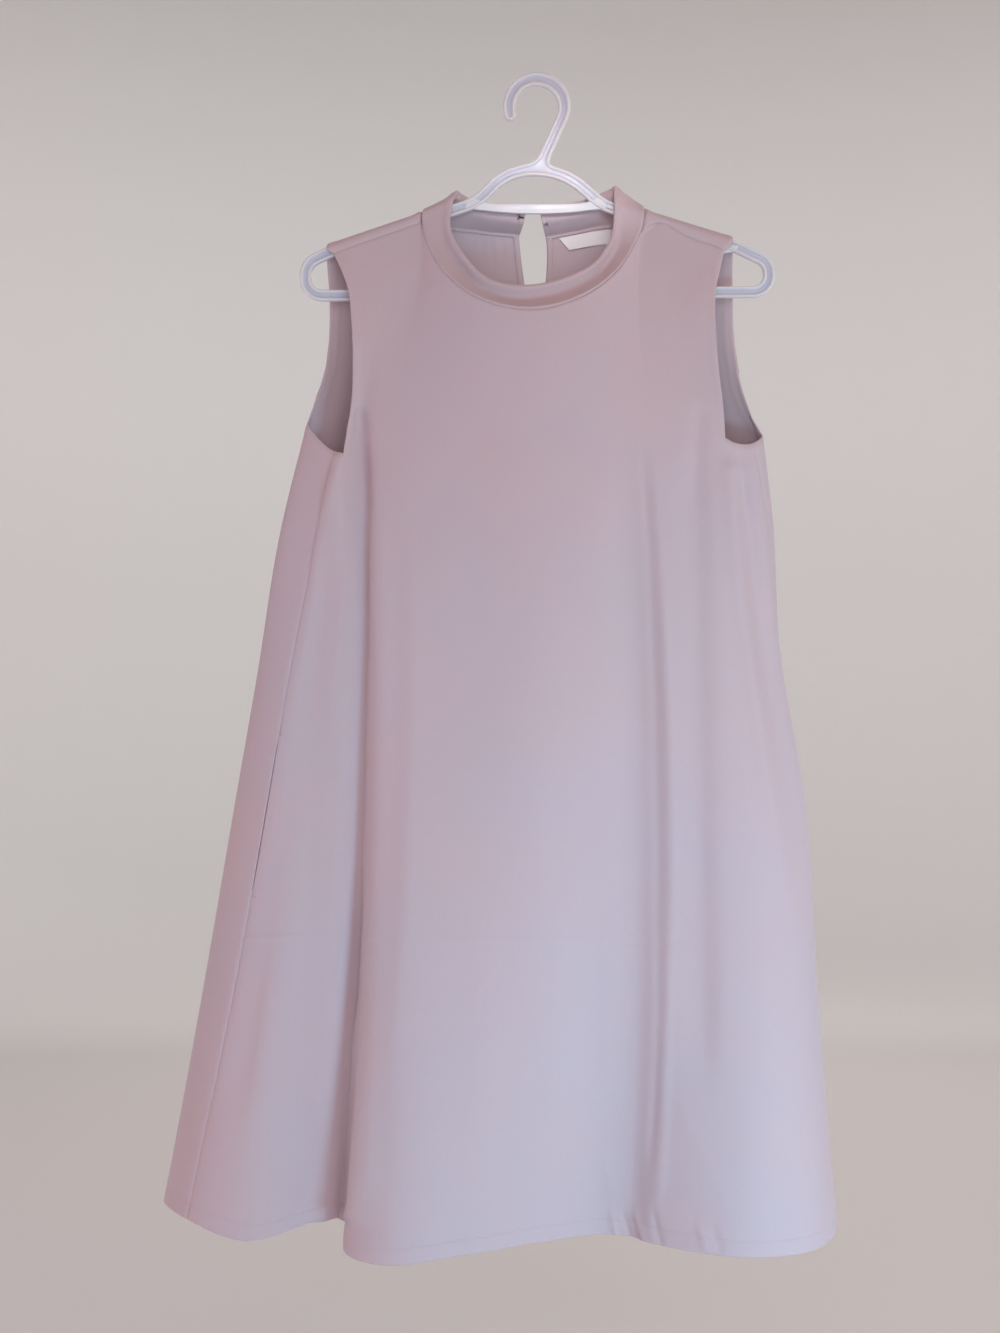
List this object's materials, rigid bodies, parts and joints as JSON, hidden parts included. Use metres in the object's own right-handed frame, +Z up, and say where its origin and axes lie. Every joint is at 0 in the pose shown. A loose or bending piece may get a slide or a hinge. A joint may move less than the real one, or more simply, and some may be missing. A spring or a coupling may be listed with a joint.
{
  "type": "sleeveless shift dress on a hanger",
  "caption": "Sleeveless A-line shift dress with a folded stand collar and a keyhole slit at the back, hanging on a moulded plastic hanger.",
  "frame": {"origin": "inside top of the hanger's hook, where a rail or a peg carries it", "axes": "+Z up, the front of the dress faces -Y, +X to the right of someone looking at the front; the hanger lies in the plane Y = 0"},
  "size_m": [0.5909, 0.2119, 1.0186],
  "materials": {
    "crepe": "matte woven crepe",
    "pocketing": "matte plain weave",
    "label_tape": "woven tape, blank",
    "dark_wire": "dark lacquered wire",
    "white_plastic": "semi-gloss moulded"
  },
  "bodies": {
    "root": {"front_panel": "crepe", "back_panel": "crepe", "collar": "crepe", "slit_binding_left": "crepe", "slit_binding_right": "crepe", "pocket_bag_left": "pocketing", "pocket_bag_right": "pocketing", "neck_label": "label_tape", "neck_hook": "dark_wire", "neck_eye": "dark_wire", "hanger": "white_plastic"}
  },
  "joints": []
}
